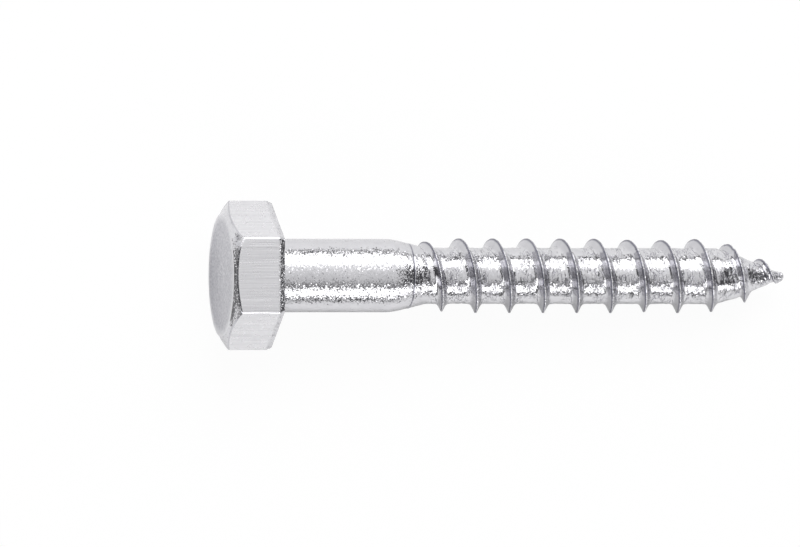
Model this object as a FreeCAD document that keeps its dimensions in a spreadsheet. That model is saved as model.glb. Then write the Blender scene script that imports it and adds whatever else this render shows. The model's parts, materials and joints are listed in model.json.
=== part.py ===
"""Hex head wood screw, forged and rolled from one length of steel wire.

The screw is drawn along its own axis. +X runs from the head to the tip, X = 0 is the bearing face under
the head, and two flats of the head face +Z and -Z. The finished screw is then laid down as it comes to
rest: on the edge of its lowest flat and on one crest of its thread, with the middle of its box over the
origin and its lowest point at Z = 0. Lengths are in millimetres and angles in degrees.
"""

import FreeCAD, Part

import math
import os

import Sketcher

NODE = "hex_head_wood_screw"
SIDES = 6

# How finely the ridge is drawn and its lowest crest is looked for.
POINTS_PER_TURN = 8
TILT_STEPS_PER_TURN = 120

# How close two lengths have to be to count as equal, and how far a measured surface may be off.
NEAR = 1e-4
FINE = 0.01

# Driving dimensions: alias, value, meaning.
SIZES = [
    ("across_flats", 16.7, "width of the head from flat to flat"),
    ("corner_round", 0.3, "radius along the six corners of the head"),
    ("head_height", 6.62, "bearing face to the flat top of the head"),
    ("top_inset", 0.39, "how far the round flat top lies inside the flats"),
    ("shoulder_drop", 0.3, "height of the steep edge round the flat top"),
    ("shoulder_width", 0.26, "how far that edge runs outwards"),
    ("chamfer_angle", 24.5, "slope of the cone that cuts the corners off"),
    ("trim_length", 0.6, "height of the leaning edge that trimming leaves under the head"),
    ("trim_depth", 0.25, "how far that edge leans in"),
    ("neck_width", 0.3, "flare between the shank and the bearing face"),
    ("shank_radius", 4.715, "plain shank"),
    ("shank_length", 15.4, "bearing face to the start of the taper"),
    ("taper_length", 5.1, "plain shank down to the core of the thread"),
    ("core_radius", 3.63, "bottom of the thread"),
    ("overall_length", 68.2, "bearing face to the tip"),
    ("point_length", 8.2, "length over which the core comes to the tip"),
    ("bend_length", 3.0, "length of the gentler cone that leads into the point"),
    ("nib_radius", 0.62, "blunt nib that is left at the tip"),
    ("nib_length", 0.75, "length of that nib"),
    ("nib_edge", 0.25, "width of the broken edge round its end"),
    ("pitch", 4.5, "one turn of the thread, right hand"),
    ("crest_radius", 4.85, "outside of the thread"),
    ("crest_width", 0.16, "land along the top of the ridge"),
    ("flank_angle", 29.0, "lean of each side of the ridge"),
    ("root_depth", 0.25, "how deep the ridge is rooted in the core"),
    ("thread_phase", 24.67, "a place where the ridge passes the corner of the head at +Y"),
    ("thread_start", 17.9, "bearing face to where the ridge begins, inside the taper"),
    ("thread_sink", 0.08, "how far below the taper it begins"),
    ("climb_length", 6.8, "length over which it climbs to its full height"),
    ("fade_length", 10.7, "tip to where the ridge starts to get lower"),
    ("end_length", 0.8, "tip to where the ridge ends"),
    ("end_height", 0.35, "height of the ridge over the point where it ends"),
]

# The core and the point, from the taper to the tip: place along the screw and radius, as formulas.
POINT_START = "(Sizes.overall_length - Sizes.point_length)"
POINT_SLOPE = "((Sizes.core_radius - Sizes.nib_radius) / (Sizes.point_length - Sizes.nib_length))"
CORE_OUTLINE = [
    ("Sizes.shank_length + Sizes.taper_length", "Sizes.core_radius"),
    (f"{POINT_START} - Sizes.bend_length / 2", "Sizes.core_radius"),
    (f"{POINT_START} + Sizes.bend_length / 2", f"Sizes.core_radius - {POINT_SLOPE} * Sizes.bend_length / 2"),
    ("Sizes.overall_length - Sizes.nib_length", "Sizes.nib_radius"),
    ("Sizes.overall_length - Sizes.nib_edge", "Sizes.nib_radius"),
    ("Sizes.overall_length", "Sizes.nib_radius - Sizes.nib_edge"),
]


def make_sheet(doc):
    """Put the driving dimensions in a spreadsheet that the features read."""
    sheet = doc.addObject("Spreadsheet::Sheet", "Sizes")
    for row, (alias, value, meaning) in enumerate(SIZES, start=1):
        sheet.set(f"A{row}", alias)
        sheet.set(f"B{row}", str(value))
        sheet.set(f"C{row}", meaning)
        sheet.setAlias(f"B{row}", alias)
    doc.recompute()
    return sheet


def value_of(item, formula):
    """Work out a formula of the sheet's sizes."""
    return float(item.evalExpression(formula))


def origin_feature(body, role):
    """Find one of the body's own origin planes or axes."""
    return next(feature for feature in body.Origin.OriginFeatures if feature.Role == role)


def make_outline(body, name, role, corners):
    """Draw a closed outline of straight lines, each corner held by two formulas."""
    sketch = body.newObject("Sketcher::SketchObject", name)
    sketch.AttachmentSupport = [(origin_feature(body, role), "")]
    sketch.MapMode = "FlatFace"
    places = [FreeCAD.Vector(value_of(sketch, across), value_of(sketch, up), 0) for across, up in corners]
    count = len(corners)
    for index in range(count):
        sketch.addGeometry(Part.LineSegment(places[index], places[(index + 1) % count]), False)
    for index in range(count):
        sketch.addConstraint(Sketcher.Constraint("Coincident", index, 2, (index + 1) % count, 1))
        hold_corner(sketch, index, places[index], corners[index])
    return sketch


def hold_corner(sketch, index, place, corner):
    """Tie the first point of one line to its two formulas."""
    directions = (("DistanceX", place.x, corner[0], -2), ("DistanceY", place.y, corner[1], -1))
    for kind, value, formula, axis in directions:
        if formula == "0":
            sketch.addConstraint(Sketcher.Constraint("PointOnObject", index, 1, axis))
        else:
            held = sketch.addConstraint(Sketcher.Constraint(kind, -1, 1, index, 1, value))
            sketch.setExpression(f"Constraints[{held}]", formula)


def add_revolved(body, kind, name, corners):
    """Turn an outline round the screw's axis, to add to the body or to cut from it."""
    outline = make_outline(body, f"{name}_outline", "XY_Plane", corners)
    feature = body.newObject(kind, name)
    feature.Profile = outline
    feature.ReferenceAxis = (origin_feature(body, "X_Axis"), [""])
    feature.Angle = 360
    body.Document.recompute()


def edges_across_axis(feature, place, reach):
    """Names of the edges in one plane square to the screw, out to a given reach."""
    place = value_of(feature, place)
    reach = value_of(feature, reach)
    names = []
    for number, edge in enumerate(feature.Shape.Edges, start=1):
        box = edge.BoundBox
        furthest = max(math.hypot(vertex.Y, vertex.Z) for vertex in edge.Vertexes)
        if box.XLength < NEAR and abs(box.XMin - place) < NEAR and furthest < reach + NEAR:
            names.append(f"Edge{number}")
    return names


def edges_along_axis(feature):
    """Names of the edges that run along the screw, such as the corners of its head."""
    edges = enumerate(feature.Shape.Edges, start=1)
    return [f"Edge{number}" for number, edge in edges if edge.BoundBox.XLength > NEAR]


def round_edges(body, name, edges, radius):
    """Round some edges of what the body is so far."""
    base = body.Tip
    fillet = body.newObject("PartDesign::Fillet", name)
    fillet.Base = (base, edges)
    fillet.setExpression("Radius", radius)
    body.Document.recompute()


def add_head(body):
    """The hexagon: its lower edge trimmed, its corners rounded and its top cut to a cone."""
    reach = f"Sizes.across_flats / 2 / cos({180 / SIDES})"
    angles = [360 / SIDES * corner for corner in range(SIDES)]
    corners = [(f"{reach} * cos({angle})", f"{reach} * sin({angle})") for angle in angles]
    outline = make_outline(body, "hexagon_outline", "YZ_Plane", corners)
    hexagon = body.newObject("PartDesign::Pad", "hexagon")
    hexagon.Profile = outline
    hexagon.setExpression("Length", "Sizes.head_height")
    hexagon.Reversed = True
    body.Document.recompute()
    trim_lower_edge(body)
    round_edges(body, "head_corners", edges_along_axis(body.Tip), "Sizes.corner_round")
    cut_top(body)


def trim_lower_edge(body):
    """The leaning edge all round the bearing face."""
    base = body.Tip
    trim = body.newObject("PartDesign::Chamfer", "trimmed_edge")
    trim.Base = (base, edges_across_axis(base, "0", "Sizes.across_flats"))
    trim.ChamferType = "Two distances"
    trim.setExpression("Size", "Sizes.trim_length")
    trim.setExpression("Size2", "Sizes.trim_depth")
    body.Document.recompute()


def cut_top(body):
    """The steep edge round the flat top, and the cone below it that cuts the corners off."""
    whole = body.Shape.Volume
    top = "-Sizes.head_height"
    above = f"{top} - Sizes.shoulder_drop"
    outside = "Sizes.across_flats"
    top_radius = "Sizes.across_flats / 2 - Sizes.top_inset"
    edge_radius = f"{top_radius} + Sizes.shoulder_width"
    edge_place = f"{top} + Sizes.shoulder_drop"
    corners = [
        (top, top_radius),
        (edge_place, edge_radius),
        (f"{edge_place} + ({outside} - ({edge_radius})) * tan(Sizes.chamfer_angle)", outside),
        (above, outside),
        (above, top_radius),
    ]
    add_revolved(body, "PartDesign::Groove", "top_chamfer", corners)
    if body.Shape.Volume > whole - NEAR:
        raise ValueError("the cone cuts nothing off the head")


def add_shank(body):
    """The wire under the head: flared neck, plain shank, taper, core of the thread, point and nib."""
    inside_head = "-Sizes.head_height / 2"
    neck_radius = "Sizes.shank_radius + Sizes.neck_width"
    corners = [
        (inside_head, "0"),
        (inside_head, neck_radius),
        ("0", neck_radius),
        ("Sizes.neck_width", "Sizes.shank_radius"),
        ("Sizes.shank_length", "Sizes.shank_radius"),
        *CORE_OUTLINE,
        ("Sizes.overall_length", "0"),
    ]
    add_revolved(body, "PartDesign::Revolution", "shank", corners)


def make_blank(doc):
    """The forged blank that the thread is rolled into."""
    body = doc.addObject("PartDesign::Body", "Blank")
    add_head(body)
    add_shank(body)
    return body


def radius_between(line, place):
    """Radius at one place along a line of (place, radius) corners."""
    if place <= line[0][0]:
        return line[0][1]
    for (before, radius_before), (after, radius_after) in zip(line, line[1:]):
        if place <= after:
            share = (place - before) / (after - before)
            return radius_before + (radius_after - radius_before) * share
    return line[-1][1]


def thread_span(sheet):
    """Where the ridge begins and ends."""
    return sheet.thread_start, sheet.overall_length - sheet.end_length


def crest_radius_at(sheet, core_line, place):
    """Outside of the ridge: it climbs out of the taper, runs level and gets lower towards the tip."""
    start, end = thread_span(sheet)
    along_taper = (start - sheet.shank_length) / sheet.taper_length
    narrowing = (sheet.shank_radius - sheet.core_radius) * along_taper
    start_radius = sheet.shank_radius - narrowing - sheet.thread_sink
    climbed = min(1.0, (place - start) / sheet.climb_length)
    fade_start = sheet.overall_length - sheet.fade_length
    faded = max(0.0, (place - fade_start) / (end - fade_start))
    full_height = sheet.crest_radius - sheet.core_radius
    height = full_height + (sheet.end_height - full_height) * faded
    return radius_between(core_line, place) + height - (sheet.crest_radius - start_radius) * (1 - climbed)


def ridge_section(sheet, core_line, place):
    """The ridge's four corners where it passes one place, as distances along and out from the axis."""
    crest = crest_radius_at(sheet, core_line, place)
    lean = math.tan(math.radians(sheet.flank_angle))
    half_land = sheet.crest_width / 2
    foot = place + half_land + (crest - radius_between(core_line, place)) * lean
    root = radius_between(core_line, foot) - sheet.root_depth
    half_root = half_land + (crest - root) * lean
    return [
        (place - half_root, root),
        (place - half_land, crest),
        (place + half_land, crest),
        (place + half_root, root),
    ]


def point_on_turn(sheet, place, along, radius):
    """A point at some radius, turned to where the ridge is when it passes a place."""
    turn = 2 * math.pi * (place - sheet.thread_phase) / sheet.pitch
    return FreeCAD.Vector(along, radius * math.cos(turn), radius * math.sin(turn))


def ridge_rails(sheet, core_line):
    """Points along the four edges that the ridge's section draws as it winds along the core."""
    start, end = thread_span(sheet)
    count = math.ceil((end - start) / sheet.pitch * POINTS_PER_TURN)
    rails = [[], [], [], []]
    for index in range(count + 1):
        place = start + (end - start) * index / count
        for rail, (along, radius) in zip(rails, ridge_section(sheet, core_line, place)):
            rail.append(point_on_turn(sheet, place, along, radius))
    return rails


def edges_by_turn(rail):
    """A smooth curve through a rail, cut into edges of about one turn."""
    curve = Part.BSplineCurve()
    curve.interpolate(rail)
    knots = curve.getKnots()
    cuts = [*range(0, len(knots) - 1, POINTS_PER_TURN), len(knots) - 1]
    edges = []
    for first, last in zip(cuts, cuts[1:]):
        stretch = curve.copy()
        stretch.segment(knots[first], knots[last])
        edges.append(stretch.toShape())
    return edges


def make_ridge(doc, sheet, core_line):
    """The thread's ridge. Its height changes along the way, so it is built from its four edges."""
    rails = ridge_rails(sheet, core_line)
    edges = [edges_by_turn(rail) for rail in rails]
    faces = []
    for side, next_side in zip(edges, edges[1:] + edges[:1]):
        faces += [Part.makeRuledSurface(one, other) for one, other in zip(side, next_side)]
    for end in (0, -1):
        corners = [rail[end] for rail in rails]
        faces.append(Part.Face(Part.makePolygon(corners + corners[:1])))
    shell = Part.makeShell(faces)
    shell.sewShape()
    solid = Part.makeSolid(shell)
    if solid.Volume < 0:
        solid.reverse()
    ridge = doc.addObject("Part::Feature", "Ridge")
    ridge.Shape = solid
    return ridge


def resting_tilt(sheet, core_line):
    """Angle at which the tip hangs when the edge of the lowest flat and one crest carry the screw."""
    edge_radius = sheet.across_flats / 2
    start, end = thread_span(sheet)
    count = math.ceil((end - start) / sheet.pitch * TILT_STEPS_PER_TURN)
    tilts = []
    for index in range(count + 1):
        place = start + (end - start) * index / count
        crest = point_on_turn(sheet, place, place, crest_radius_at(sheet, core_line, place))
        tilts.append(math.degrees(math.atan2(edge_radius + crest.z, place + sheet.trim_length)))
    return min(tilts)


def surface_box(shape):
    """Lowest and highest corners of the surface itself."""
    points, _ = shape.tessellate(FINE)
    lowest = [min(point[axis] for point in points) for axis in range(3)]
    highest = [max(point[axis] for point in points) for axis in range(3)]
    return lowest, highest


def lay_down(screw, tilt):
    """Tip the screw on to its rest, with the middle of its box over the origin."""
    rotation = FreeCAD.Rotation(FreeCAD.Vector(0, 1, 0), tilt)
    screw.Placement = FreeCAD.Placement(FreeCAD.Vector(), rotation)
    screw.Document.recompute()
    lowest, highest = surface_box(screw.Shape)
    middle = (lowest[0] + highest[0]) / 2
    screw.Placement = FreeCAD.Placement(FreeCAD.Vector(-middle, 0, -lowest[2]), rotation)
    screw.Document.recompute()


def check(doc, parts):
    """Stop before anything is written if a feature failed or a shape is not one sound solid."""
    for item in doc.Objects:
        if "Invalid" in item.State or "Error" in item.State:
            raise ValueError(f"{item.Name} failed: {item.getStatusString()}")
    for part in parts:
        if part.Shape.isNull() or not part.Shape.isValid() or len(part.Shape.Solids) != 1:
            raise ValueError(f"{part.Label} is not one sound solid")


def main():
    doc = FreeCAD.newDocument("HexHeadWoodScrew")
    sheet = make_sheet(doc)
    blank = make_blank(doc)
    core_line = [(value_of(blank, place), value_of(blank, radius)) for place, radius in CORE_OUTLINE]
    ridge = make_ridge(doc, sheet, core_line)
    screw = doc.addObject("Part::Fuse", "Screw")
    screw.Label = NODE
    screw.Base = blank
    screw.Tool = ridge
    doc.recompute()
    tilt = resting_tilt(sheet, core_line)
    lay_down(screw, tilt)
    parts = [screw]
    check(doc, parts)
    if screw.Shape.Volume < blank.Shape.Volume:
        raise ValueError("the ridge took material away")
    os.makedirs("parts", exist_ok=True)
    for part in parts:
        part.Shape.exportStep(f"parts/{part.Label}.step")
        print(part.Label, "volume", round(part.Shape.Volume, 1), "box", surface_box(part.Shape))
    print("tilt", round(tilt, 4), "bearing face centre", screw.Placement.Base)


main()
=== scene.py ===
import json
import math

import bpy
import numpy as np
from mathutils import Matrix, Vector, noise


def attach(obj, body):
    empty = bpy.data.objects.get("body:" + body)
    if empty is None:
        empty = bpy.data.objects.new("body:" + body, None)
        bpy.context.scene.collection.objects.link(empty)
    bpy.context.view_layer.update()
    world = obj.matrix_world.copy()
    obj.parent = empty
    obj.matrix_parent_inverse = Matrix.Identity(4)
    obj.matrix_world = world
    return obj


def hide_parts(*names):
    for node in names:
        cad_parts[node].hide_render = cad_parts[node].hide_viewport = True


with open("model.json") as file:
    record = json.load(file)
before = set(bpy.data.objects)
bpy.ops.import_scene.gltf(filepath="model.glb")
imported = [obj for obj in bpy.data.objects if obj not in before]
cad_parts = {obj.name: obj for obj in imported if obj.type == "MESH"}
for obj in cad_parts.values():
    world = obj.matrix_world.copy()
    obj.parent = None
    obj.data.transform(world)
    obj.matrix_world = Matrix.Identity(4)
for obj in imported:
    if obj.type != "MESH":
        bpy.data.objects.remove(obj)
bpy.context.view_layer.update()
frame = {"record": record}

NODE = "hex_head_wood_screw"
MM = 0.001

# The screw's own axes, read from the frame. Places along it start at the bearing face and run to the tip.
MOUNTS = {mount["name"]: mount for mount in frame["record"]["mounts"]}
AXIS = Vector(MOUNTS["bearing_face"]["axis"]).normalized()
SIDE = Vector((0, 1, 0))
RISE = AXIS.cross(SIDE).normalized()
START = Vector(MOUNTS["bearing_face"]["pos_m"]) * Vector((1, 0, 1))
LEAN = math.atan2(-AXIS.z, AXIS.x)

# Head, in millimetres: the hexagon with worn corners, the flat top, the shoulder round it, the cone that
# cuts the corners, a chip in the cone's edge, the trimmed lower edge and the neck.
SIDES = 6
ACROSS_FLATS = 16.7
CORNER_FACET = 0.26
CORNER_EASE = 0.07
HEAD_HEIGHT = 6.62
TOP_RADIUS = 7.9
SHOULDER_RADIUS = 8.22
SHOULDER_DROP = 0.3
CHAMFER_SLOPE = math.tan(math.radians(24.5))
CHIP_ANGLE = math.radians(60)
CHIP_SPREAD = math.radians(4)
CHIP_LENGTH = 0.3
TRIM_LENGTH = 0.6
TRIM_DEPTH = 0.28
NECK_WIDTH = 0.3

# Shank, core of the thread and point: places along the screw and radii, in millimetres.
SHANK_RADIUS = MOUNTS["shank"]["dims"]["r_mm"]
SHANK_START = 0.6
CORE_RADIUS = 3.63
CORE_EASE = 1.0
POINT_END = 67.7
TIP = 68.2
CORE_LINE = [(0, SHANK_RADIUS), (15.3, SHANK_RADIUS), (16.4, 4.56), (20.1, 3.66), (20.8, CORE_RADIUS),
             (58.9, CORE_RADIUS), (61.6, 2.92), (63.8, 1.95), (65.7, 1.22), (66.7, 0.74), (67.3, 0.62),
             (TIP, 0.6)]

# Thread: its pitch, the place where a crest passes the +Y side, its section and the radius of its crest.
PITCH = 4.5
THREAD_PHASE = 24.67
CREST_WIDTH = 0.16
FLANK_SLOPE = math.tan(math.radians(29))
FOOT_EASE = 0.42
CREST_EASE = 0.8
CREST_LINE = [(17.2, 3.2), (17.8, 4.12), (20.2, 4.42), (22.4, 4.62), (24.7, 4.83), (45.0, 4.83),
              (47.2, 4.7), (51.7, 4.69), (54.0, 4.83), (56.2, 4.83), (58.4, 4.67), (60.7, 4.18),
              (62.9, 3.43), (65.2, 2.2), (67.0, 1.15), (67.9, 0.4)]

# Where rolling began: a fine step on the taper, and the stretch over which the surface becomes a rolled one.
SEAM = 17.9
SEAM_DEPTH = 0.03
SEAM_WIDTH = 0.07
ROLLED_BAND = (SEAM - 0.4, SEAM + 1.2)

# Roots: how far they sag between two crests, their crumpling, which begins beside the ridge and grows along
# the screw, and the lap beside the ridge, which wanders and breaks off.
ROOT_SAG = 0.1
SAG_LEVEL = 0.25
CRUMPLE_BAND = (0.55, 0.95)
CRUMPLE_GROWTH = (0, 20)
DENT_DEPTH = 0.055
FLAKE_DEPTH = 0.045
FLAKE_LIMIT = 0.1
LAP_DEPTH = 0.06
LAP_WIDTH = 0.13
LAP_PLACE = 1.15
LAP_WANDER = 0.2
LAP_BREAKS = (-0.3, 0.2)

# Wear: slow waves and nicks in the crest, the nicks deeper near the point, and shallow dents all along.
WAVE_DEPTH = 0.05
NICK_LEVEL = 0.2
NICK_DEPTH = 0.05
POINT_NICK_DEPTH = 0.25
POINT_BAND = (59.0, 61.5)
SHANK_DENT_DEPTH = 0.003
ROLLED_DENT_DEPTH = 0.005

# The torn edge round the bearing face: how deep its pits are, and where they begin and end.
PIT_DEPTH = 0.1
FINE_PIT_SHARE = 0.5
PIT_START = (-TRIM_LENGTH - 0.05, -TRIM_LENGTH + 0.1)
PIT_END = (-0.12, 0.0)

# Noise in the shape and in the zones: bumps a millimetre along, beside and above the axis, and a seed, which
# counts how many times SEED_SHIFT moves it.
WAVES = ((0.55, 0.55, 0.55), 1)
NICKS = ((1.9, 1.9, 1.9), 2)
DENTS = ((1.5, 0.8, 0.8), 3)
FLAKES = ((3.4, 1.5, 1.5), 4)
PITS = ((2.2, 1.3, 1.3), 5)
FINE_PITS = ((4.0, 3.0, 3.0), 6)
RAGS = ((0.4, 1.6, 1.6), 7)
BREAKS = ((0.8, 2.2, 2.2), 8)
SEED_SHIFT = (7.31, 3.17, 5.77)

# How finely the mesh is divided. PLAIN_ROWS are stretches of level rows: from where, to where, how many.
# Places less than NEAR apart count as the same, and TINY keeps a length of 0 from being divided by.
COLUMNS = 144
CORNER_STEPS = 2
FACET_STEPS = 2 * CORNER_STEPS + 2
LINE_STEP = 0.02
MIDDLE_RADIUS = 0.5
PLAIN_ROWS = ((1.0, 14.6, 28), (14.9, 17.0, 12), (17.15, SEAM + 0.1, 16))
CREST_ROWS = (0.08, 0.14, 0.24, 0.36, 0.48, 0.6, 0.72, 0.84)
ROOT_STEPS = 12
TIP_SHARES = (0, 0.25, 0.5, 0.7, 0.85, 0.95)
NEAR = 0.01
TINY = 1e-9

# Edges of the head from the middle of its top to the shank: how far an edge is eased in millimetres, the
# steps in its curve and the steps from there to the next edge.
HEAD_EDGES = {
    "middle": (0, 0, 14),
    "top": (0.1, 3, 1),
    "shoulder": (0.08, 3, 4),
    "cone": (0.24, 6, 20),
    "trim": (0.1, 3, 8),
    "face": (0.08, 3, 8),
    "neck": (0.12, 3, 1),
    "flare": (0.12, 3, 1),
    "shank": (0, 0, 0),
}

# Where the zones of the surface change, in millimetres: out from the axis for the rim, up for the painted
# shade on the lower side of the top, down from the cone for its edge and the flats, along the screw for the
# torn edge, the taper and the roots, and away from the crest for the parts of the ridge.
TOP_LAYER = 0.03
RIM_BAND = (7.1, 7.5)
SHADED_TOP_BAND = (-9.0, 7.0)
EDGE_BAND = (0.0, 0.05)
FLATS_BAND = (0.08, 0.2)
TORN_BAND = (-TRIM_LENGTH - 0.22, -TRIM_LENGTH - 0.1)
TORN_WANDER = 0.12
TAPER_BAND = (SEAM - 1.5, SEAM - 0.2)
ROOTS_BAND = (19.8, 21.0)
SEAM_SHADE_WIDTH = 0.09
RAISED_BAND = (0.0, 0.3)
RIDGE_BAND = (0.5, 0.8)
CREST_BAND = (0.06, 0.15)
BRINK_BAND = (0.12, 0.22)
BRINK_START = -0.04
BREAK_BAND = (-0.2, 0.1)

# How each zone looks: its brightness, how matt it is and how gritty. The brink is the narrow dark band on
# the head's side of the crest, and trailing is the flank on the tip's side.
ZONES = {
    "top": (0.55, 0.38, 1.0),
    # Painted shade: the top darker towards its lower side, nearest the floor.
    "shaded_top": (0.44, 0.38, 1.0),
    # Partly a smoother ring, partly a painted highlight round the edge of the top.
    "rim": (0.76, 0.36, 0.8),
    "chamfer": (0.68, 0.17, 1.2),
    # Painted shade: a darker line just below the cone's edge, for the dark reflection this eased edge shows.
    "edge": (0.54, 0.15, 0.4),
    "flats": (0.775, 0.28, 0.1),
    "torn": (0.69, 0.13, 2.3),
    "shank": (0.70, 0.10, 1.2),
    "ridge": (0.64, 0.13, 0.1),
    # Painted highlight: the crest's bright line, left out where it is broken.
    "crest": (0.84, 0.13, 6.5),
    # Painted shade: a narrow dark band on the head's side of the crest.
    "brink": (0.2, 0.2, 2.0),
    # Painted shade: the flank on the tip's side darker.
    "trailing": (0.56, 0.14, 2.4),
    "roots": (0.71, 0.10, 0.8),
    "taper": (0.68, 0.10, 1.25),
    # Painted shade: a dark line in the fine step where rolling began.
    "seam": (0.2, 0.3, 0.5),
}

# Patterns in the steel: features a millimetre along, beside and above the axis, their detail and roughness.
# Most of their noise lies in NOISE_BAND, and folds run where it passes NOISE_MIDDLE.
PATTERNS = {
    "speckle": ((6.0, 6.0, 6.0), 1.0, 0.5),
    "winding_folds": ((2.6, 0.45, 0.45), 1.5, 0.5),
    "stray_folds": ((1.6, 1.1, 1.1), 1.5, 0.5),
    "patches": ((0.55, 0.55, 0.55), 1.0, 0.5),
    "ripples": ((2.2, 0.7, 0.7), 2.0, 0.5),
    "lines": ((0.1, 7.0, 7.0), 2.0, 0.6),
    "strokes": ((1.0, 0.45, 6.0), 0.0, 0.5),
    "clouds": ((0.9, 0.9, 0.9), 3.0, 0.5),
    "sand": ((3.0, 3.0, 3.0), 3.0, 0.65),
    "sheen": ((0.8, 0.8, 0.8), 2.0, 0.5),
}
NOISE_BAND = (0.3, 0.7)
NOISE_MIDDLE = 0.5
WINDING_FOLD_WIDTH = 0.025
STRAY_FOLD_WIDTH = 0.02
PATCH_BAND = (0.42, 0.58)
CRYSTAL_SCALE = 6.8
CRYSTAL_TILT = 0.16

# The die mark on the upper flat, and the scratches on the top: the angle and seed of each set, the part of
# the noise that makes a stroke, how far from the middle they thin out and the share of them left there.
MARK_SIDE = 3.69
MARK_WIDTH = 0.3
STROKE_SETS = ((35, 0), (-40, 9), (75, 21))
STROKE_BAND = (0.66, 0.72)
STROKE_REACH = (1.2, 3.0)
STROKE_LEFT = 0.15

# How deep the patterns are, in millimetres, and how much they change the steel's tone and roughness.
SPECKLE_DEPTH = 0.014
FOLD_DEPTH = 0.06
RIPPLE_DEPTH = 0.045
LINE_DEPTH = 0.04
MARK_DEPTH = 0.02
STROKE_DEPTH = 0.015
CLOUD_TONE = 0.03
LINE_TONE = 0.06
SAND_TONE = 0.14
FOLD_SHADE = -0.35
STROKE_TONE = 0.14
SHEEN_BAND = (-0.03, 0.04)

# The tint of the steel: its green and blue for a tone of red.
GREEN_SHARE = 0.994
BLUE_SHARE = 0.948
BLUE_LIFT = 0.056

# Floor, in metres: radii and heights of a white sheet whose far edge turns up, and how much of it glows
# where the camera or a mirroring surface sees it.
FLOOR_PROFILE = ((0.6, 0), (2.0, 0), (2.14, 0.03), (2.2, 0.2))
FLOOR_SIDES = 96
PAPER_COLOUR = (0.66, 0.66, 0.66, 1)
SEEN_GLOW = 0.95
MIRRORED_GLOW = 0.12
WHITE = (1, 1, 1, 1)

# Light, in metres and degrees: two soft boxes beside the screw and a panel of strips overhead. Each has an
# angle from straight above it, a width, and the angles of its ends towards the head and the tip.
LIGHT_DISTANCE = 0.7
SIDE_BOXES = (("light_far_side", 53.1, 39.1), ("light_near_side", -56.7, 29.0))
SIDE_REACH = (-72, 47)
SIDE_GLOW = 2.1
FIRST_STRIP = -29.7
STRIP_WIDTH = 11.4
STRIP_REACH = (-35, 34)
STRIP_GLOWS = (0.24, 0.58, 0.66, 0.73, 0.83, 0.98)
FLOOR_LAMP_PLACE = Vector((0.05, 0.9, 1.1))
FLOOR_LAMP_SIZE = (1.0, 1.0)
FLOOR_LAMP_GLOW = 5.5
ROOM_COLOUR = (0.08, 0.08, 0.084, 1)

# Dark card past the head's end, in metres: a faint glow seen only in reflections, as painted shade.
CARD_PLACE = -0.058
CARD_SIDES = (-0.2, 0.0115)
CARD_HEIGHT = 0.018
CARD_GLOW = 0.22

# Camera: the photograph's size, the middle of the bearing face in it and the lens's length, all in pixels,
# how far away that middle is in metres, how the camera is turned in degrees, its sensor in millimetres and
# the nearest that it sees in metres.
VIEW_WIDTH = 800
VIEW_HEIGHT = 547
FACE_MIDDLE = (271.6, 275.4)
VIEW_SCALE = 8000.0
VIEW_DISTANCE = 1.026
VIEW_SLANT = 13.2
VIEW_ROLL = 0.1
SENSOR = 36.0
CLIP_START = 0.05


def smooth_line(corners, reach):
    """A line through (place, value) corners with its bends eased, as a function of place."""
    places = np.arange(corners[0][0] - reach, corners[-1][0] + reach, LINE_STEP)
    values = np.interp(places, *zip(*corners))
    width = int(reach / LINE_STEP)
    window = np.hanning(width + 2)[1:-1]
    padded = np.pad(values, width, mode="edge")
    eased = np.convolve(padded, window / window.sum(), mode="same")[width:-width]
    return lambda place: np.interp(place, places, eased)


core_at = smooth_line(CORE_LINE, CORE_EASE)
crest_at = smooth_line(CREST_LINE, CREST_EASE)


def bumps(points, kind):
    """Smooth noise of one kind at each point, between about -1 and 1."""
    scale = Vector(kind[0])
    shift = Vector([kind[1] * step for step in SEED_SHIFT])
    values = [noise.noise(Vector(point) * scale + shift) for point in points.reshape(-1, 3)]
    return np.array(values).reshape(points.shape[:-1])


def ramp(value, low, high):
    """0 below low, 1 above high and eased between."""
    share = np.clip((value - low) / (high - low), 0, 1)
    return share * share * (3 - 2 * share)


def bell(distance, width):
    """1 at no distance, fading to 0 on both sides."""
    return np.exp(-(distance / width) ** 2)


def either(first, second, ease):
    """The greater of two heights, with the corner between them eased."""
    near = np.maximum(ease - np.abs(first - second), 0) / ease
    return np.maximum(first, second) + near * near * ease / 4


def on_circle(place, radius, angle):
    """Points round the screw, as distances along it, to its side and up."""
    place, radius, angle = np.broadcast_arrays(place, radius, angle)
    return np.stack([place, radius * np.cos(angle), radius * np.sin(angle)], axis=-1)


def from_crest(place, angle):
    """Distance along the screw from the nearest crest."""
    turns = (place - THREAD_PHASE) / PITCH - angle / (2 * math.pi)
    return (turns - np.round(turns)) * PITCH


def worn_crest(path, angle, nicks):
    """Radius of the crest at places on its path."""
    waves = np.abs(bumps(on_circle(path, CORE_RADIUS, angle), WAVES))
    nick_depth = NICK_DEPTH + POINT_NICK_DEPTH * ramp(path, *POINT_BAND)
    return crest_at(path) - WAVE_DEPTH * waves - nick_depth * np.maximum(nicks - NICK_LEVEL, 0)


def root_radius(place, angle, along, rolled, nicks, dents):
    """Radius of the shank, the roots and the point, without the ridge."""
    core = core_at(place)
    sag = ROOT_SAG * rolled * ((2 * np.abs(along) / PITCH - 1) ** 2 - SAG_LEVEL)
    flakes = np.minimum(bumps(on_circle(place, core, angle), FLAKES), FLAKE_LIMIT)
    crumpled = rolled * ramp(np.abs(along), *CRUMPLE_BAND) * ramp(place, *CRUMPLE_GROWTH)
    crumple = crumpled * (DENT_DEPTH * dents + FLAKE_DEPTH * flakes)
    from_lap = along + LAP_PLACE + LAP_WANDER * dents
    lap = LAP_DEPTH * rolled * bell(from_lap, LAP_WIDTH) * ramp(nicks, *LAP_BREAKS)
    return core + sag + crumple - lap


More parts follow.
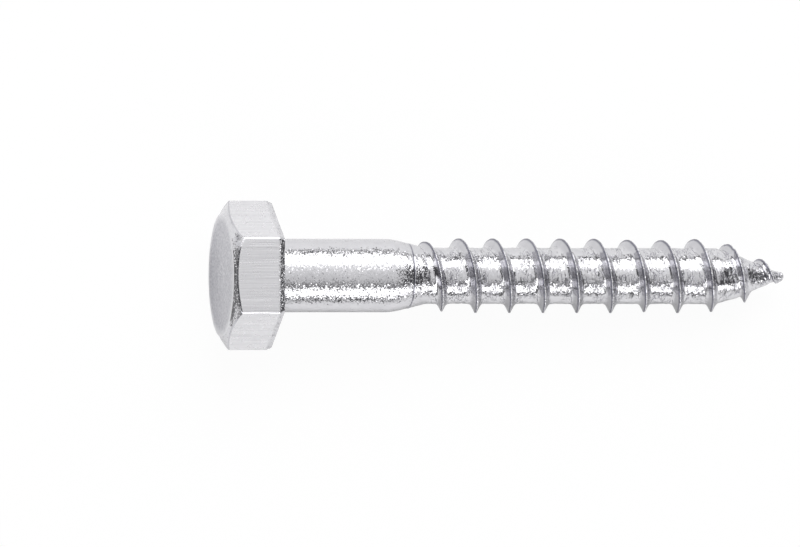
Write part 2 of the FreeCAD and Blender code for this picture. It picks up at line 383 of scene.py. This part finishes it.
def shaft_radius(place, angle):
    """Radius of everything under the head: shank, seam, ridge of the thread, rolled roots and point."""
    along = from_crest(place, angle)
    path = place - along
    rolled = ramp(place, *ROLLED_BAND)
    nicks = bumps(on_circle(path, CORE_RADIUS, angle), NICKS)
    dents = bumps(on_circle(place, core_at(place), angle), DENTS)
    flank = np.maximum(np.abs(along) - CREST_WIDTH / 2, 0) / FLANK_SLOPE
    ridge = worn_crest(path, angle, nicks) - flank
    root = root_radius(place, angle, along, rolled, nicks, dents)
    seam = SEAM_DEPTH * bell(place - SEAM, SEAM_WIDTH)
    shallow_dents = (SHANK_DENT_DEPTH + ROLLED_DENT_DEPTH * rolled) * np.abs(dents)
    return either(root, ridge, FOOT_EASE) - seam - shallow_dents


def towards(first, second, reach):
    """Points a short way from one row towards another."""
    gap = second - first
    return first + gap * reach / np.maximum(np.linalg.norm(gap, axis=-1, keepdims=True), TINY)


def eased_rows(before, corner, after, reach, steps):
    """Rows that lead round a corner row on a curve."""
    first = towards(corner, before, reach)
    last = towards(corner, after, reach)
    shares = np.linspace(0, 1, steps + 1)
    return [first * (1 - s) ** 2 + corner * 2 * s * (1 - s) + last * s ** 2 for s in shares]


def rows_through(corners):
    """Rows along a profile. Each corner is (row, reach of its curve, steps in it, steps to the next)."""
    rows = [corners[0][0]]
    for before, corner, after in zip(corners, corners[1:], corners[2:] + [None]):
        row, reach, steps, _ = corner
        curve = eased_rows(before[0], row, after[0], reach, steps) if after else [row]
        start = rows[-1]
        between = before[3]
        rows += [start + (curve[0] - start) * step / between for step in range(1, between)]
        rows += curve
    return rows


def hexagon(half_width):
    """The hexagon with its corners worn to narrow facets, the middle of one facet towards +Y first."""
    turn = 2 * math.pi / SIDES
    reach = half_width / math.cos(turn / 2) - CORNER_FACET / 2 / math.tan(turn)
    bends = []
    for corner in range(SIDES):
        out = np.array([math.cos(turn * corner), math.sin(turn * corner)])
        side = np.array([-out[1], out[0]]) * CORNER_FACET / 2
        bends += [out * reach - side, out * reach + side]
    facets = []
    for index in range(0, len(bends), 2):
        around = [bends[(index + step) % len(bends)] for step in (-1, 0, 1, 2)]
        first = eased_rows(*around[:3], CORNER_EASE, CORNER_STEPS)
        second = eased_rows(*around[1:], CORNER_EASE, CORNER_STEPS)
        facets.append(first + [(first[-1] + second[0]) / 2] + second)
    flat_steps = COLUMNS // SIDES - FACET_STEPS
    loop = []
    for facet, following in zip(facets, facets[1:] + facets[:1]):
        gap = following[0] - facet[-1]
        loop += facet + [facet[-1] + gap * step / flat_steps for step in range(1, flat_steps)]
    return np.roll(np.array(loop), -(FACET_STEPS // 2), axis=0)


def circle(radius, angles):
    """A round outline across the screw."""
    return radius * np.column_stack([np.cos(angles), np.sin(angles)])


def ring(place, outline):
    """One closed row of points from an outline across the screw."""
    return np.column_stack([np.broadcast_to(place, (COLUMNS,)), outline])


def cone_place(reach):
    """Place along the screw where the cone that cuts the corners is a distance from the axis."""
    return SHOULDER_DROP - HEAD_HEIGHT + (reach - SHOULDER_RADIUS) * CHAMFER_SLOPE


def torn(row):
    """A row with the edge round the bearing face roughened, as trimming tore it."""
    share = ramp(row[:, 0], *PIT_START) * (1 - ramp(row[:, 0], *PIT_END))
    pits = np.abs(bumps(row, PITS)) + FINE_PIT_SHARE * np.abs(bumps(row, FINE_PITS))
    inwards = 1 - PIT_DEPTH * share * pits / np.maximum(np.hypot(row[:, 1], row[:, 2]), TINY)
    return row * np.column_stack([np.ones(len(row)), inwards, inwards])


def head_rows(even_angles):
    """Rows from near the middle of the head's top to the shank."""
    outline = hexagon(ACROSS_FLATS / 2)
    trimmed = hexagon(ACROSS_FLATS / 2 - TRIM_DEPTH)
    angles = np.arctan2(outline[:, 1], outline[:, 0])
    chip = CHIP_LENGTH * bell(angles - CHIP_ANGLE, CHIP_SPREAD)
    cone = cone_place(np.linalg.norm(outline, axis=1)) + chip
    rows = {
        "middle": ring(-HEAD_HEIGHT, circle(MIDDLE_RADIUS, angles)),
        "top": ring(-HEAD_HEIGHT, circle(TOP_RADIUS, angles)),
        "shoulder": ring(SHOULDER_DROP - HEAD_HEIGHT, circle(SHOULDER_RADIUS, angles)),
        "cone": ring(cone, outline),
        "trim": ring(-TRIM_LENGTH, outline),
        "face": ring(0.0, trimmed),
        "neck": ring(0.0, circle(SHANK_RADIUS + NECK_WIDTH, even_angles)),
        "flare": ring(NECK_WIDTH, circle(SHANK_RADIUS, even_angles)),
        "shank": ring(SHANK_START, circle(SHANK_RADIUS, even_angles)),
    }
    corners = [(row, *HEAD_EDGES[edge]) for edge, row in rows.items()]
    return [torn(row) for row in rows_through(corners)]


class Shell:
    """Points and faces of a closed surface, laid row by row."""

    def __init__(self):
        self.points = []
        self.faces = []

    def add_row(self, row):
        """Add points and give their numbers."""
        first = len(self.points)
        self.points += list(row)
        return list(range(first, first + len(row)))

    def join_rows(self, rows):
        """Lay faces between rows that follow one another."""
        for lower, upper in zip(rows, rows[1:]):
            for column in range(COLUMNS):
                after = (column + 1) % COLUMNS
                self.faces.append([lower[column], lower[after], upper[after], upper[column]])

    def join_winding_rows(self, numbers, rows_a_turn, last):
        """Lay faces between winding rows. Each ends where the row a turn on starts, or at the last point."""
        ends = np.full((len(numbers), 1), last)
        ends[:-rows_a_turn, 0] = numbers[rows_a_turn:, 0]
        numbers = np.hstack([numbers, ends])
        for lower, upper in zip(numbers, numbers[1:]):
            for column in range(COLUMNS):
                face = [lower[column], lower[column + 1], upper[column + 1], upper[column]]
                kept = [int(number) for index, number in enumerate(face) if number != face[index - 1]]
                if len(set(kept)) >= 3:
                    self.faces.append(kept)

    def close(self, row, place, at_tip):
        """Close an end with faces from its row to a point on the axis."""
        middle = len(self.points)
        self.points.append(np.array([place, 0, 0]))
        for column in range(COLUMNS):
            pair = [row[column], row[(column + 1) % COLUMNS]]
            self.faces.append([*(pair if at_tip else pair[::-1]), middle])


def crest_steps():
    """Distances from the crest at which the mesh has a row, close together where the ridge is sharp."""
    near = list(CREST_ROWS)
    far = list(np.linspace(near[-1], PITCH / 2, ROOT_STEPS + 1)[1:])
    return [-step for step in reversed(near + far[:-1])] + [0.0] + near + far


def add_thread(shell, first_row, last_row, angles, start, end):
    """The rolled part, in rows that wind along with the ridge between two level rows."""
    steps = crest_steps()
    first_turn = math.floor((start - THREAD_PHASE) / PITCH) - 1
    last_turn = math.ceil((end - THREAD_PHASE) / PITCH) + 1
    turns = range(first_turn, last_turn)
    levels = [THREAD_PHASE + turn * PITCH + step for turn in turns for step in steps]
    places = np.array(levels)[:, None] + PITCH * (angles / (2 * math.pi))
    angles = np.broadcast_to(angles, places.shape)
    points = on_circle(places, shaft_radius(places, angles), angles)
    numbers = np.where(places <= start + NEAR, np.array(first_row), np.array(last_row))
    between = (places > start + NEAR) & (places < end - NEAR)
    numbers[between] = shell.add_row(points[between])
    shell.join_winding_rows(numbers, len(steps), last_row[0])


def build_shell():
    """The whole screw in its own axes, in millimetres."""
    shell = Shell()
    angles = np.linspace(0, 2 * math.pi, COLUMNS, endpoint=False)
    rows = [shell.add_row(row) for row in head_rows(angles)]
    shell.close(rows[0], -HEAD_HEIGHT, at_tip=False)
    plain = [place for stretch in PLAIN_ROWS for place in np.linspace(*stretch)]
    rows += [shell.add_row(on_circle(place, shaft_radius(place, angles), angles)) for place in plain]
    shell.join_rows(rows)
    tip_rows = []
    for share in TIP_SHARES:
        place = POINT_END + (TIP - POINT_END) * share
        radius = shaft_radius(POINT_END, angles) * math.sqrt(1 - share ** 2)
        tip_rows.append(shell.add_row(on_circle(place, radius, angles)))
    add_thread(shell, rows[-1], tip_rows[0], angles, plain[-1], POINT_END)
    shell.join_rows(tip_rows)
    shell.close(tip_rows[-1], TIP, at_tip=True)
    return shell


def place_in_frame(points):
    """Points along, beside and above the screw's axis, in the row frame in metres."""
    axes = np.array([AXIS, SIDE, RISE])
    return np.array(START) + np.array(points) @ axes * MM


def make_screw():
    """The screw as one closed mesh that stands for the CAD solid."""
    shell = build_shell()
    mesh = bpy.data.meshes.new("screw")
    mesh.from_pydata(place_in_frame(shell.points).tolist(), [], shell.faces)
    mesh.polygons.foreach_set("use_smooth", [True] * len(mesh.polygons))
    mesh.update()
    screw = bpy.data.objects.new("screw", mesh)
    bpy.context.scene.collection.objects.link(screw)
    paint_zones(mesh, np.array(shell.points))
    return screw


def head_zones(points):
    """How much each point belongs to each zone of the head."""
    place = points[:, 0]
    reach = np.hypot(points[:, 1], points[:, 2])
    in_head = place < -NEAR
    on_top = place < TOP_LAYER - HEAD_HEIGHT
    # The rim is partly a smoother ring and partly a painted highlight round the edge of the top.
    rim = ramp(reach, *RIM_BAND)
    # Painted shade: the top grows darker towards its lower side, where it is nearest the floor.
    shaded_top = on_top * (1 - rim) * (1 - ramp(points[:, 2], *SHADED_TOP_BAND))
    below_cone = place - cone_place(reach)
    flats = in_head * ramp(below_cone, *FLATS_BAND)
    # Painted shade: a darker line just below the cone's edge, for the dark reflection this eased edge shows.
    edge = in_head * ~on_top * (1 - flats) * ramp(below_cone, *EDGE_BAND) * (reach > SHOULDER_RADIUS)
    torn_edge = in_head * ramp(place + TORN_WANDER * bumps(points, RAGS), *TORN_BAND)
    return {
        "top": on_top * (1 - rim) - shaded_top,
        "shaded_top": shaded_top,
        "rim": on_top * rim,
        "chamfer": in_head * ~on_top * (1 - flats) - edge,
        "edge": edge,
        "flats": flats * ~on_top * (1 - torn_edge),
        "torn": torn_edge,
    }


def shaft_zones(points):
    """How much each point belongs to each zone under the head. With the head's zones this adds up to 1."""
    place = points[:, 0]
    along = from_crest(place, np.arctan2(points[:, 2], points[:, 1]))
    rolled = ramp(place, *TAPER_BAND)
    raised = ramp(crest_at(place - along) - core_at(place), *RAISED_BAND)
    ridge = rolled * raised * (1 - ramp(np.abs(along), *RIDGE_BAND))
    # The crest's brightness is a painted highlight, with gaps where the noise breaks it.
    unbroken = ramp(bumps(points, BREAKS), *BREAK_BAND)
    crest = ridge * (1 - ramp(np.abs(along), *CREST_BAND)) * (along > BRINK_START) * unbroken
    # Painted shade: a narrow dark band on the head's side of the crest.
    brink = ridge * (1 - ramp(np.abs(along), *BRINK_BAND)) * (along < BRINK_START)
    # Painted shade: the flank on the tip's side is darker.
    trailing = (ridge - crest) * (along > 0)
    roots = (rolled - ridge) * ramp(place, *ROOTS_BAND)
    # Painted shade: a dark line in the fine step where rolling began.
    seam = bell(place - SEAM, SEAM_SHADE_WIDTH) * (rolled - ridge - roots)
    return {
        "shank": (place >= -NEAR) * (1 - rolled),
        "ridge": ridge - crest - brink - trailing,
        "crest": crest,
        "brink": brink,
        "trailing": trailing,
        "roots": roots,
        "taper": rolled - ridge - roots - seam,
        "seam": seam,
    }


def paint_zones(mesh, points):
    """Keep the looks of the zones and the weights of those with a pattern of their own on the mesh."""
    weights = {**head_zones(points), **shaft_zones(points)}
    painted = {name: weights[name] for name in ("flats", "roots")}
    painted["top"] = weights["top"] + weights["shaded_top"]
    for index, quality in enumerate(("tone", "matt", "grit")):
        painted[quality] = sum(weights[zone] * looks[index] for zone, looks in ZONES.items())
    for name, values in painted.items():
        attribute = mesh.attributes.new(name, "FLOAT", "POINT")
        attribute.data.foreach_set("value", np.asarray(values, np.float32))


def feed(tree, socket, value):
    """Set an input to a value, or link another node's output to it."""
    if isinstance(value, bpy.types.NodeSocket):
        tree.links.new(value, socket)
    else:
        socket.default_value = value


def add_node(tree, kind, inputs=None, **settings):
    """A shader node with its settings and inputs, each input a value or another node's output."""
    made = tree.nodes.new(f"ShaderNode{kind}")
    for name, value in settings.items():
        setattr(made, name, value)
    for name, value in (inputs or {}).items():
        feed(tree, made.inputs[name], value)
    return made


def new_material(name):
    """An empty material with its output."""
    material = bpy.data.materials.new(name)
    material.use_nodes = True
    material.node_tree.nodes.clear()
    return material, material.node_tree, add_node(material.node_tree, "OutputMaterial")


def painted(tree, name):
    """A quality or weight kept on the mesh."""
    return add_node(tree, "Attribute", attribute_name=name).outputs["Fac"]


def math_node(tree, operation, *values):
    """Arithmetic on up to three numbers or outputs."""
    made = add_node(tree, "Math", operation=operation)
    for socket, value in zip(made.inputs, values):
        feed(tree, socket, value)
    return made.outputs[0]


def combined(tree, operation, *values):
    """Arithmetic on two numbers or outputs, carried on with each further one."""
    result = values[0]
    for value in values[1:]:
        result = math_node(tree, operation, result, value)
    return result


def vector_node(tree, operation, inputs):
    """Arithmetic on vectors, with the inputs by number or name."""
    return add_node(tree, "VectorMath", inputs, operation=operation).outputs[0]


def mapped(tree, value, low, high, to_low, to_high):
    """A number carried from one range to another."""
    inputs = {"Value": value, "From Min": low, "From Max": high, "To Min": to_low, "To Max": to_high}
    return add_node(tree, "MapRange", inputs).outputs["Result"]


def screw_places(tree):
    """Position on the screw in its own axes, in millimetres."""
    source = add_node(tree, "TexCoord").outputs["Object"]
    inputs = {"Vector": source, "Location": START, "Rotation": (0, LEAN, 0), "Scale": (MM, MM, MM)}
    return add_node(tree, "Mapping", inputs, vector_type="TEXTURE").outputs["Vector"]


def wound_places(tree, places):
    """Positions with the distance from the crest in place of the one along the screw."""
    apart = add_node(tree, "SeparateXYZ", {"Vector": places})
    turn = math_node(tree, "ARCTAN2", apart.outputs["Z"], apart.outputs["Y"])
    climb = math_node(tree, "MULTIPLY_ADD", turn, -PITCH / (2 * math.pi), -THREAD_PHASE)
    along = math_node(tree, "WRAP", math_node(tree, "ADD", apart.outputs["X"], climb), PITCH / 2, -PITCH / 2)
    inputs = {"X": along, "Y": apart.outputs["Y"], "Z": apart.outputs["Z"]}
    return add_node(tree, "CombineXYZ", inputs).outputs[0]


def pattern(tree, places, name):
    """One of the steel's patterns, as noise from 0 to 1."""
    scale, detail, roughness = PATTERNS[name]
    scaled = add_node(tree, "Mapping", {"Vector": places, "Scale": scale}).outputs["Vector"]
    inputs = {"Vector": scaled, "Scale": 1.0, "Detail": detail, "Roughness": roughness}
    return add_node(tree, "TexNoise", inputs).outputs["Fac"]


def folds_in(tree, places, name, width):
    """Fine folds where a pattern passes the middle of its noise, 1 in a fold."""
    off_fold = math_node(tree, "SUBTRACT", pattern(tree, places, name), NOISE_MIDDLE)
    return mapped(tree, math_node(tree, "ABSOLUTE", off_fold), 0.0, width, 1, 0)


def root_folds(tree, places, wound):
    """Patches of folds in the roots, the finest of them along the thread."""
    winding = folds_in(tree, wound, "winding_folds", WINDING_FOLD_WIDTH)
    stray = folds_in(tree, places, "stray_folds", STRAY_FOLD_WIDTH)
    patches = mapped(tree, pattern(tree, places, "patches"), *PATCH_BAND, 0, 1)
    folds = math_node(tree, "MAXIMUM", winding, stray)
    return combined(tree, "MULTIPLY", folds, painted(tree, "roots"), patches)


def scratches(tree, places, angle, seed):
    """Short straight strokes one way over the head's top, 1 in a stroke."""
    inputs = {"Vector": places, "Location": (seed, 0, 0), "Rotation": (math.radians(angle), 0, 0)}
    turned = add_node(tree, "Mapping", inputs).outputs["Vector"]
    return mapped(tree, pattern(tree, turned, "strokes"), *STROKE_BAND, 0, 1)


def top_scratches(tree, places):
    """Scratches several ways over the head's top, most of them near its middle."""
    sets = [scratches(tree, places, angle, seed) for angle, seed in STROKE_SETS]
    strokes = combined(tree, "MAXIMUM", *sets)
    middle = add_node(tree, "VectorMath", {0: places, 1: (-HEAD_HEIGHT, 0, 0)}, operation="DISTANCE")
    near_middle = mapped(tree, middle.outputs["Value"], *STROKE_REACH, 1, STROKE_LEFT)
    return combined(tree, "MULTIPLY", strokes, painted(tree, "top"), near_middle)


def die_mark(tree, places):
    """A fine raised line that the die left along the upper flat of the head, 1 at its top."""
    apart = add_node(tree, "SeparateXYZ", {"Vector": places})
    off_line = math_node(tree, "ABSOLUTE", math_node(tree, "SUBTRACT", apart.outputs["Y"], MARK_SIDE))
    upper = math_node(tree, "GREATER_THAN", apart.outputs["Z"], ACROSS_FLATS / 2 - TRIM_DEPTH)
    return math_node(tree, "MULTIPLY", mapped(tree, off_line, 0.0, MARK_WIDTH / 2, 1, 0), upper)


def crystals(tree, places, share):
    """The surface's normal, tilted at random from one tiny crystal to the next, mostly by little."""
    cells = add_node(tree, "TexVoronoi", {"Vector": places, "Scale": CRYSTAL_SCALE}).outputs["Color"]
    offset = vector_node(tree, "SUBTRACT", {0: cells, 1: (NOISE_MIDDLE,) * 3})
    square = vector_node(tree, "MULTIPLY", {0: offset, 1: offset})
    cube = vector_node(tree, "MULTIPLY", {0: square, 1: offset})
    strength = math_node(tree, "MULTIPLY", share, CRYSTAL_TILT / NOISE_MIDDLE ** 3)
    tilt = vector_node(tree, "SCALE", {0: cube, "Scale": strength})
    level = add_node(tree, "NewGeometry").outputs["Normal"]
    tilted = vector_node(tree, "ADD", {0: level, 1: tilt})
    return vector_node(tree, "NORMALIZE", {0: tilted})


def bumped(tree, height, depth, normal):
    """The normal bent by a height from 0 to 1 that stands for a depth in millimetres."""
    inputs = {"Height": height, "Distance": depth * MM, "Normal": normal}
    return add_node(tree, "Bump", inputs).outputs["Normal"]


def steel_normal(tree, places, wound, folds, lines, strokes):
    """The normal: grit all over, folds and ripples in the roots, lines on the flats, a scratched top."""
    grit = painted(tree, "grit")
    roots = painted(tree, "roots")
    flats = painted(tree, "flats")
    layers = (
        (math_node(tree, "MULTIPLY", pattern(tree, places, "speckle"), grit), SPECKLE_DEPTH),
        (math_node(tree, "MULTIPLY", folds, -1.0), FOLD_DEPTH),
        (math_node(tree, "MULTIPLY", pattern(tree, wound, "ripples"), roots), RIPPLE_DEPTH),
        (math_node(tree, "MULTIPLY", lines, flats), LINE_DEPTH),
        (math_node(tree, "MULTIPLY", die_mark(tree, places), flats), MARK_DEPTH),
        (strokes, STROKE_DEPTH),
    )
    normal = crystals(tree, places, grit)
    for height, depth in layers:
        normal = bumped(tree, height, depth, normal)
    return normal


def steel_colour(tree, places, folds, lines, strokes):
    """The colour: the tone of the zone, clouded, lined on the flats, sanded on top, with painted shade in
    folds.
    """
    flats = painted(tree, "flats")
    clouds = mapped(tree, pattern(tree, places, "clouds"), *NOISE_BAND, -CLOUD_TONE, CLOUD_TONE)
    drawn = mapped(tree, lines, *NOISE_BAND, -LINE_TONE, LINE_TONE)
    sand = mapped(tree, pattern(tree, places, "sand"), *NOISE_BAND, -SAND_TONE, SAND_TONE)
    changes = (
        (clouds, math_node(tree, "SUBTRACT", 1.0, flats)),
        (drawn, flats),
        (sand, painted(tree, "top")),
        # Painted shade in the folds of the roots.
        (folds, FOLD_SHADE),
        (strokes, STROKE_TONE),
    )
    tone = painted(tree, "tone")
    for change, share in changes:
        tone = math_node(tree, "MULTIPLY_ADD", change, share, tone)
    green = math_node(tree, "MULTIPLY", tone, GREEN_SHARE)
    blue = math_node(tree, "MULTIPLY_ADD", tone, BLUE_SHARE, BLUE_LIFT)
    return add_node(tree, "CombineColor", {"Red": tone, "Green": green, "Blue": blue}).outputs[0]


def steel_material():
    """Bright steel: speckled shank, lined flats, folded roots, torn lower edge and scratched matt top."""
    material, tree, output = new_material("bright_steel_surface")
    places = screw_places(tree)
    wound = wound_places(tree, places)
    folds = root_folds(tree, places, wound)
    lines = pattern(tree, places, "lines")
    strokes = top_scratches(tree, places)
    sheen = mapped(tree, pattern(tree, places, "sheen"), *NOISE_BAND, *SHEEN_BAND)
    inputs = {
        "Base Color": steel_colour(tree, places, folds, lines, strokes),
        "Metallic": 1.0,
        "Roughness": math_node(tree, "ADD", painted(tree, "matt"), sheen),
        "Normal": steel_normal(tree, places, wound, folds, lines, strokes),
    }
    shader = add_node(tree, "BsdfPrincipled", inputs)
    feed(tree, output.inputs["Surface"], shader.outputs[0])
    return material


def floor_material():
    """White paper that shows as the background and still takes a soft shadow."""
    material, tree, output = new_material("white_floor")
    rays = add_node(tree, "LightPath")
    seen = math_node(tree, "MAXIMUM", rays.outputs["Is Camera Ray"], rays.outputs["Is Transmission Ray"])
    share = math_node(tree, "MULTIPLY", seen, SEEN_GLOW)
    share = math_node(tree, "MULTIPLY_ADD", rays.outputs["Is Glossy Ray"], MIRRORED_GLOW, share)
    paper = add_node(tree, "BsdfDiffuse", {"Color": PAPER_COLOUR})
    glow = add_node(tree, "Emission", {"Color": WHITE, "Strength": 1.0})
    mix = add_node(tree, "MixShader", {0: share, 1: paper.outputs[0], 2: glow.outputs[0]})
    feed(tree, output.inputs["Surface"], mix.outputs[0])
    return material


def card_material():
    """A faint even glow, a painted reflection of a studio's unlit side."""
    material, tree, output = new_material("dark_glow_for_reflections")
    paper = add_node(tree, "Emission", {"Color": WHITE, "Strength": CARD_GLOW})
    feed(tree, output.inputs["Surface"], paper.outputs[0])
    return material


def add_floor():
    """A round white floor whose far edge turns up."""
    points = [(0, 0, 0)]
    for radius, height in FLOOR_PROFILE:
        for index in range(FLOOR_SIDES):
            angle = 2 * math.pi * index / FLOOR_SIDES
            points.append((radius * math.cos(angle), radius * math.sin(angle), height))
    faces = []
    for index in range(FLOOR_SIDES):
        after = (index + 1) % FLOOR_SIDES
        faces.append((0, 1 + index, 1 + after))
        for row in range(len(FLOOR_PROFILE) - 1):
            low, high = 1 + row * FLOOR_SIDES, 1 + (row + 1) * FLOOR_SIDES
            faces.append((low + index, high + index, high + after, low + after))
    mesh = bpy.data.meshes.new("floor")
    mesh.from_pydata(points, [], faces)
    mesh.materials.append(floor_material())
    floor = bpy.data.objects.new("floor", mesh)
    bpy.context.scene.collection.objects.link(floor)


def add_dark_card():
    """A dark card past the head's end that only the metal shows: a painted reflection of a studio's unlit
    side.
    """
    x, (near, far), high = CARD_PLACE, CARD_SIDES, CARD_HEIGHT
    mesh = bpy.data.meshes.new("dark_card")
    mesh.from_pydata([(x, near, 0), (x, far, 0), (x, far, high), (x, near, high)], [], [(0, 1, 2, 3)])
    mesh.materials.append(card_material())
    card = bpy.data.objects.new("dark_card", mesh)
    bpy.context.scene.collection.objects.link(card)
    card.visible_camera = False
    card.visible_shadow = False
    card.visible_diffuse = False


def add_lamp(name, place, axes, size, glow):
    """A flat lamp of a size, its brightness such that 1 lights a white sheet beside it fully."""
    lamp = bpy.data.lights.new(name, "AREA")
    lamp.shape = "RECTANGLE"
    lamp.size, lamp.size_y = size
    lamp.energy = math.pi * lamp.size * lamp.size_y * glow
    box = bpy.data.objects.new(name, lamp)
    bpy.context.scene.collection.objects.link(box)
    box.matrix_world = Matrix.Translation(place) @ Matrix(axes).transposed().to_4x4()
    box.visible_camera = False
    return box


def add_soft_box(name, angle, width, reach, glow):
    """A long lamp beside the screw, from an angle to straight above it, with its ends at two more angles."""
    lean = math.radians(angle)
    across = RISE * math.cos(lean) + SIDE * math.sin(lean)
    ends = [LIGHT_DISTANCE * math.tan(math.radians(end)) for end in reach]
    place = across * LIGHT_DISTANCE + AXIS * sum(ends) / 2
    size = (ends[1] - ends[0], 2 * LIGHT_DISTANCE * math.tan(math.radians(width / 2)))
    add_lamp(name, place, (AXIS, across.cross(AXIS), across), size, glow)


def add_light():
    """Two soft boxes, a graded panel overhead and a lamp for the floor, in a dark room."""
    for name, angle, width in SIDE_BOXES:
        add_soft_box(name, angle, width, SIDE_REACH, SIDE_GLOW)
    for index, glow in enumerate(STRIP_GLOWS):
        angle = FIRST_STRIP + STRIP_WIDTH * index
        add_soft_box(f"light_overhead_{index}", angle, STRIP_WIDTH, STRIP_REACH, glow)
    level = Matrix.Identity(3)
    floor_lamp = add_lamp("light_floor", FLOOR_LAMP_PLACE, level, FLOOR_LAMP_SIZE, FLOOR_LAMP_GLOW)
    floor_lamp.visible_glossy = False
    world = bpy.data.worlds.new("room")
    world.use_nodes = True
    world.node_tree.nodes["Background"].inputs["Color"].default_value = ROOM_COLOUR
    bpy.context.scene.world = world


def add_camera():
    """A long lens that looks down on the screw, slightly from the head's end."""
    slant = math.radians(VIEW_SLANT) - LEAN
    roll = math.radians(VIEW_ROLL)
    forward = Vector((math.sin(slant), 0, -math.cos(slant)))
    level = Vector((math.cos(slant), 0, math.sin(slant)))
    right = level * math.cos(roll) + SIDE * math.sin(roll)
    up = SIDE * math.cos(roll) - level * math.sin(roll)
    across = (FACE_MIDDLE[0] - VIEW_WIDTH / 2) * VIEW_DISTANCE / VIEW_SCALE
    above = (VIEW_HEIGHT / 2 - FACE_MIDDLE[1]) * VIEW_DISTANCE / VIEW_SCALE
    camera = bpy.data.objects.new("camera", bpy.data.cameras.new("camera"))
    camera.data.sensor_width = SENSOR
    camera.data.lens = VIEW_SCALE * SENSOR / VIEW_WIDTH
    camera.data.clip_start = CLIP_START
    place = START - right * across - up * above - forward * VIEW_DISTANCE
    axes = Matrix((right, up, -forward)).transposed().to_4x4()
    camera.matrix_world = Matrix.Translation(place) @ axes
    bpy.context.scene.collection.objects.link(camera)
    bpy.context.scene.camera = camera


screw = make_screw()
screw.data.materials.append(steel_material())
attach(screw, "root")
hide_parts(NODE)
add_floor()
add_light()
add_dark_card()
add_camera()
bpy.context.scene.view_settings.view_transform = "Standard"
